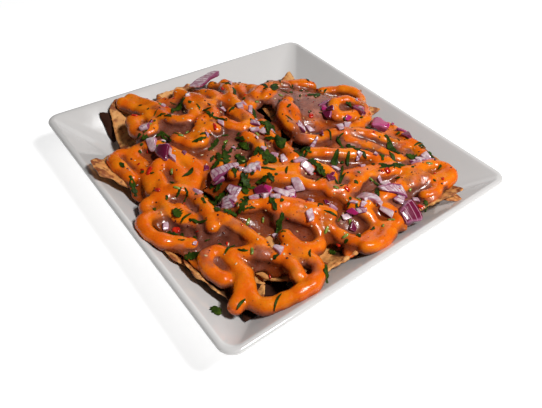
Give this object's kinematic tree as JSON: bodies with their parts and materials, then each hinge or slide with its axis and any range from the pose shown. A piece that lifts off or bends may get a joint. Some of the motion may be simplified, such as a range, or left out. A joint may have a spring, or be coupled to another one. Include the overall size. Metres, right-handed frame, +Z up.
{
  "type": "nachos on a square plate",
  "caption": "Loaded nachos: tortilla chips heaped on a square deep plate under squeezed ropes of cheese sauce, bean sauce and red onion.",
  "frame": {"origin": "centre of the plate's foot, on the surface the plate stands on", "axes": "+Z up; +X and +Y along the plate's sides, the heap's lowest side towards +X and -Y"},
  "size_m": [0.26, 0.26, 0.0593],
  "materials": {
    "plate": "white glazed porcelain, glossy",
    "tortilla_chip": "fried corn tortilla, dry and pitted, toasted at the edges",
    "cheese_sauce": "thick orange cheese sauce, wet gloss",
    "bean_sauce": "brown-mauve bean sauce, wet gloss",
    "red_onion": "raw red onion, white flesh with a purple skin"
  },
  "bodies": {
    "root": {"bean_sauce_back": "bean_sauce", "bean_sauce_far": "bean_sauce", "bean_sauce_front": "bean_sauce", "bean_sauce_left": "bean_sauce", "bean_sauce_middle": "bean_sauce", "bean_sauce_right": "bean_sauce", "cheese_back_arc": "cheese_sauce", "cheese_back_left": "cheese_sauce", "cheese_back_outer": "cheese_sauce", "cheese_centre_back": "cheese_sauce", "cheese_centre_low": "cheese_sauce", "cheese_left_shore": "cheese_sauce", "cheese_mid_front": "cheese_sauce", "cheese_mid_knot": "cheese_sauce", "cheese_mid_rise": "cheese_sauce", "cheese_right_long": "cheese_sauce", "cheese_right_rise": "cheese_sauce", "cheese_slab_low": "cheese_sauce", "chip_back_corner": "tortilla_chip", "chip_back_edge": "tortilla_chip", "chip_back_far": "tortilla_chip", "chip_back_left": "tortilla_chip", "chip_back_low": "tortilla_chip", "chip_back_right": "tortilla_chip", "chip_front_edge": "tortilla_chip", "chip_heap": "tortilla_chip", "chip_left_edge": "tortilla_chip", "chip_left_front": "tortilla_chip", "chip_mid_front": "tortilla_chip", "chip_near_curl": "tortilla_chip", "chip_near_edge": "tortilla_chip", "chip_right_corner": "tortilla_chip", "chip_right_edge": "tortilla_chip", "chip_right_upper": "tortilla_chip", "chip_slab": "tortilla_chip", "onion_back_dice": "red_onion", "onion_back_slice": "red_onion", "onion_centre_roll": "red_onion", "onion_centre_stripe": "red_onion", "onion_left_dice": "red_onion", "onion_right_dice": "red_onion", "onion_right_slice": "red_onion", "onion_right_stripe": "red_onion", "plate": "plate"}
  },
  "joints": []
}
